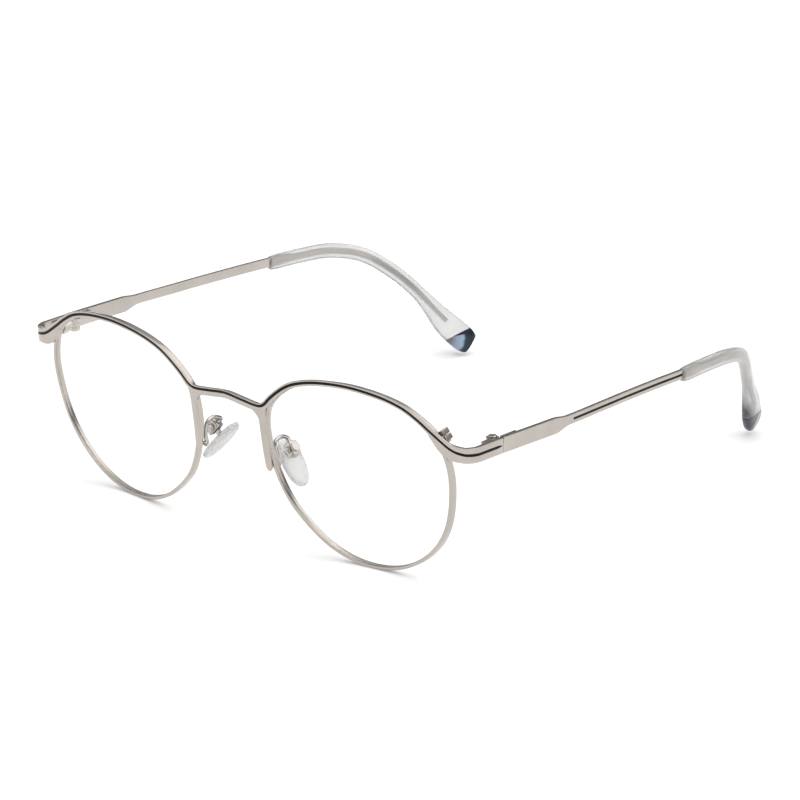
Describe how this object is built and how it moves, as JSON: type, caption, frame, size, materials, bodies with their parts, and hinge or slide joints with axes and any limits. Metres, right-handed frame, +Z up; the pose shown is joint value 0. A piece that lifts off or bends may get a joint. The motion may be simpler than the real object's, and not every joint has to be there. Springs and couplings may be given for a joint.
{
  "type": "eyeglasses",
  "caption": "Round wire eyeglasses: brow plate with an inlaid black line, clear lenses, rocking nose pads on wire arms, and folding temples with clear tips.",
  "frame": {"origin": "on the table, under the middle of the footprint of the open eyeglasses", "axes": "+X towards the wearer's left, +Y back along the temples, +Z up"},
  "size_m": [0.135, 0.142, 0.0462],
  "materials": {
    "silver_metal": "satin, warm silver plating",
    "black_enamel": "black enamel line laid in a groove",
    "polished_steel": "polished small screws",
    "clear_lens": "clear, polished, no tint",
    "pad_plastic": "clear, slightly milky",
    "tip_plastic": "clear, polished",
    "dark_laminate": "dark blue and brown laminate, polished"
  },
  "bodies": {
    "front": {"bridge_bar": "silver_metal", "brow_front": "silver_metal", "brow_groove_enamel": "black_enamel", "closing_block_lower_left": "silver_metal", "closing_block_lower_right": "silver_metal", "closing_block_upper_left": "silver_metal", "closing_block_upper_right": "silver_metal", "closing_screw_left": "polished_steel", "closing_screw_right": "polished_steel", "hinge_front_left": "silver_metal", "hinge_front_right": "silver_metal", "hinge_screw_left": "polished_steel", "hinge_screw_right": "polished_steel", "lens_left": "clear_lens", "lens_right": "clear_lens", "pad_arm_left": "silver_metal", "pad_arm_right": "silver_metal", "pad_box_left": "silver_metal", "pad_box_right": "silver_metal", "pad_screw_left": "polished_steel", "pad_screw_right": "polished_steel", "rim_left": "silver_metal", "rim_right": "silver_metal"},
    "left_side": {"temple_left": "silver_metal", "temple_groove_enamel_left": "black_enamel", "temple_tip_left": "tip_plastic", "tip_end_left": "dark_laminate", "hinge_temple_left": "silver_metal"},
    "right_side": {"temple_right": "silver_metal", "temple_groove_enamel_right": "black_enamel", "temple_tip_right": "tip_plastic", "tip_end_right": "dark_laminate", "hinge_temple_right": "silver_metal"},
    "left_pad": {"nose_pad_left": "pad_plastic", "pad_core_left": "polished_steel"},
    "right_pad": {"nose_pad_right": "pad_plastic", "pad_core_right": "polished_steel"}
  },
  "joints": [
    {"name": "left_temple_fold", "type": "hinge", "parent": "front", "child": "left_side", "pos_m": [0.0646, -0.05256, 0.03425], "axis": [0, 0, 1], "range_deg": [0, 83]},
    {"name": "right_temple_fold", "type": "hinge", "parent": "front", "child": "right_side", "pos_m": [-0.0646, -0.05256, 0.03425], "axis": [0, 0, -1], "range_deg": [0, 76]},
    {"name": "left_pad_rock", "type": "hinge", "parent": "front", "child": "left_pad", "pos_m": [0.01217, -0.06109, 0.02291], "axis": [0.1546, 0.9853, -0.0729], "range_deg": [-10, 10]},
    {"name": "right_pad_rock", "type": "hinge", "parent": "front", "child": "right_pad", "pos_m": [-0.01217, -0.06109, 0.02291], "axis": [-0.1546, 0.9853, -0.0729], "range_deg": [-10, 10]}
  ]
}
